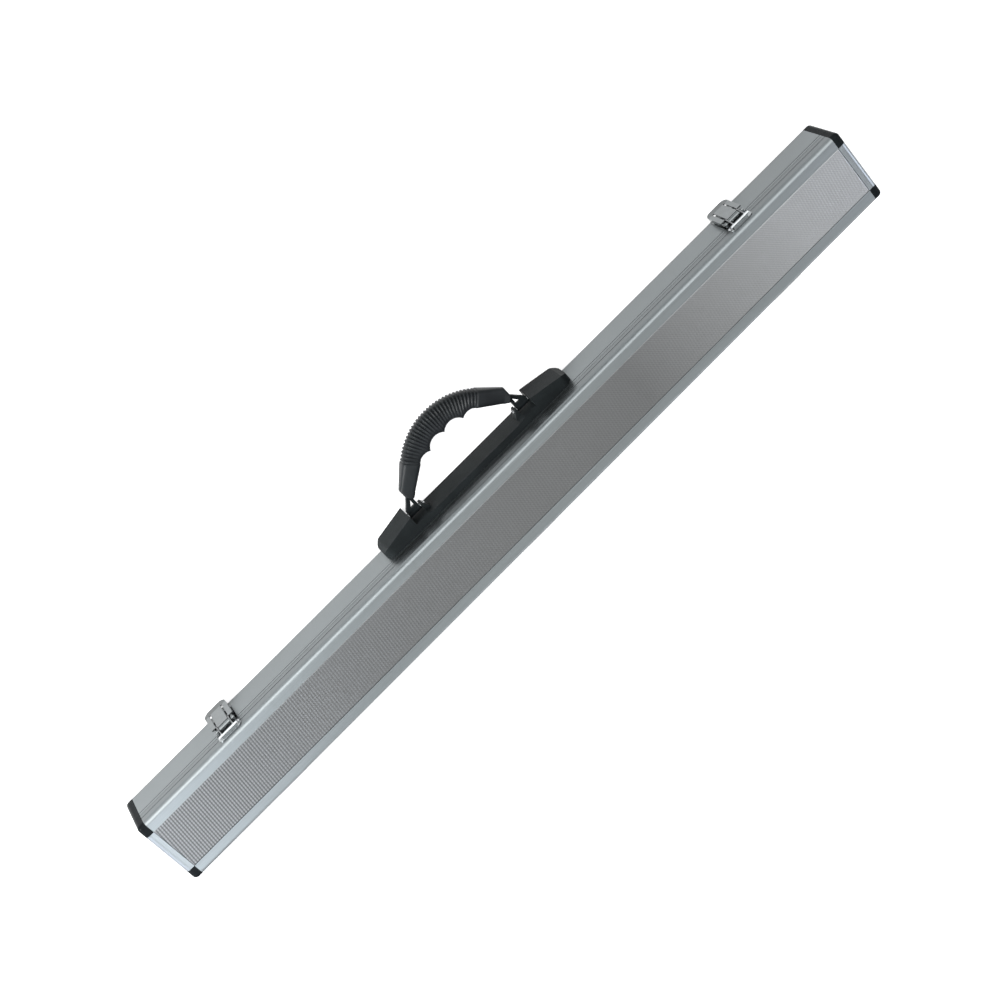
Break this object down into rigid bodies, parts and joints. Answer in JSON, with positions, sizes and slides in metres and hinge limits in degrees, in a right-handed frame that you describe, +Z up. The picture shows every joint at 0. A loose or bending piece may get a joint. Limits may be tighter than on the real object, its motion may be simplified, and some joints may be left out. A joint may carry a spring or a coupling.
{
  "type": "cue case",
  "caption": "Slim aluminium case for a two-piece cue, with a hinged lid, draw latches and a folding carry handle.",
  "frame": {"origin": "middle of the base's lower face, level with the surface that it rests on", "axes": "+X along the length, to the right seen from the front; -Y towards the front, where the handle and latches are; +Z up from the base to the lid"},
  "size_m": [0.832, 0.1474, 0.052],
  "materials": {
    "rail_aluminium": "satin anodised, fine drawn lines along the length",
    "embossed_panel": "satin, finely embossed",
    "board": "raw hardboard",
    "corner_plastic": "moulded, semi-gloss",
    "handle_plastic": "moulded, fine grain",
    "handle_grip": "soft-touch moulded, ribbed",
    "handle_link": "moulded, semi-gloss",
    "latch_chrome": "bright plated",
    "hinge_steel": "plated, lightly brushed",
    "steel": "turned, plated",
    "foam": "dark foam with a short plush cover"
  },
  "bodies": {
    "base": {"base_back_left_corner": "corner_plastic", "base_back_rail": "rail_aluminium", "base_back_right_corner": "corner_plastic", "base_board": "board", "base_foam_insert": "foam", "base_front_left_corner": "corner_plastic", "base_front_rail": "rail_aluminium", "base_front_right_corner": "corner_plastic", "base_left_end_rail": "rail_aluminium", "base_panel_skin": "embossed_panel", "base_right_end_rail": "rail_aluminium", "handle_left_pin": "steel", "handle_mount": "handle_plastic", "handle_right_pin": "steel", "handle_screws": "steel", "hinge_base_rivets": "steel", "hinge_centre_base_leaf": "hinge_steel", "hinge_centre_pin": "steel", "hinge_left_base_leaf": "hinge_steel", "hinge_left_pin": "steel", "hinge_right_base_leaf": "hinge_steel", "hinge_right_pin": "steel", "latch_left_lever_pin": "steel", "latch_left_plate": "latch_chrome", "latch_plate_rivets": "steel", "latch_right_lever_pin": "steel", "latch_right_plate": "latch_chrome"},
    "lid": {"hinge_centre_lid_leaf": "hinge_steel", "hinge_left_lid_leaf": "hinge_steel", "hinge_lid_rivets": "steel", "hinge_right_lid_leaf": "hinge_steel", "latch_keeper_rivets": "steel", "latch_left_keeper": "latch_chrome", "latch_right_keeper": "latch_chrome", "lid_back_left_corner": "corner_plastic", "lid_back_rail": "rail_aluminium", "lid_back_right_corner": "corner_plastic", "lid_board": "board", "lid_foam_pad": "foam", "lid_front_left_corner": "corner_plastic", "lid_front_rail": "rail_aluminium", "lid_front_right_corner": "corner_plastic", "lid_left_end_rail": "rail_aluminium", "lid_panel_skin": "embossed_panel", "lid_right_end_rail": "rail_aluminium"},
    "handle": {"handle_grip": "handle_grip", "handle_left_link": "handle_link", "handle_right_link": "handle_link"},
    "latch_left_lever_arm": {"latch_left_lever": "latch_chrome", "latch_left_hook_pin": "steel"},
    "latch_left_hook_frame": {"latch_left_hook": "latch_chrome"},
    "latch_right_lever_arm": {"latch_right_lever": "latch_chrome", "latch_right_hook_pin": "steel"},
    "latch_right_hook_frame": {"latch_right_hook": "latch_chrome"}
  },
  "joints": [
    {"name": "lid_hinge", "type": "hinge", "parent": "base", "child": "lid", "pos_m": [0, 0.039, 0.036], "axis": [-1, 0, 0], "range_deg": [0, 100]},
    {"name": "handle_swing", "type": "hinge", "parent": "base", "child": "handle", "pos_m": [0, -0.048, 0.0165], "axis": [-1, 0, 0], "range_deg": [-67.5, 82.5]},
    {"name": "latch_left_lever_turn", "type": "hinge", "parent": "base", "child": "latch_left_lever_arm", "pos_m": [-0.304, -0.0409, 0.0356], "axis": [-1, 0, 0], "range_deg": [0, 115]},
    {"name": "latch_left_hook_turn", "type": "hinge", "parent": "latch_left_lever_arm", "child": "latch_left_hook_frame", "pos_m": [-0.304, -0.041, 0.028], "axis": [1, 0, 0], "range_deg": [0, 115]},
    {"name": "latch_right_lever_turn", "type": "hinge", "parent": "base", "child": "latch_right_lever_arm", "pos_m": [0.304, -0.0409, 0.0356], "axis": [-1, 0, 0], "range_deg": [0, 115]},
    {"name": "latch_right_hook_turn", "type": "hinge", "parent": "latch_right_lever_arm", "child": "latch_right_hook_frame", "pos_m": [0.304, -0.041, 0.028], "axis": [1, 0, 0], "range_deg": [0, 115]}
  ],
  "couplings": [
    {"joint": "latch_left_hook_turn", "follows": "latch_left_lever_turn", "ratio": 1},
    {"joint": "latch_right_hook_turn", "follows": "latch_right_lever_turn", "ratio": 1}
  ]
}
